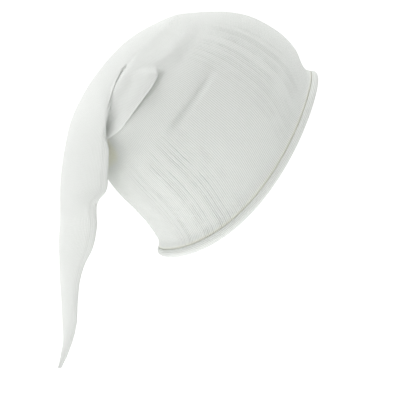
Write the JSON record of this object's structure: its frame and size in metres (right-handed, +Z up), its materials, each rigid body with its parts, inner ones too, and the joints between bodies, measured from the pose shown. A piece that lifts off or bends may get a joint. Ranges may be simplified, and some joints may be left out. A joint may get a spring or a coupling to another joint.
{
  "type": "nightcap",
  "caption": "Long knitted nightcap in its worn form: a round crown with a rolled lower edge, whose pointed tail turns over and hangs down behind.",
  "frame": {"origin": "centre of the head opening, where a head holds the cap", "axes": "+Z up, +X the way the wearer faces, +Y the wearer's left"},
  "size_m": [0.2386, 0.1626, 0.3257],
  "materials": {
    "knitting": "off-white fine-gauge stocking stitch, matt and slightly fluffy",
    "curled_knitting": "the same knitting, curled so that its purl side shows"
  },
  "bodies": {
    "root": {"crown_and_tail": "knitting", "rolled_rim": "curled_knitting"}
  },
  "joints": []
}
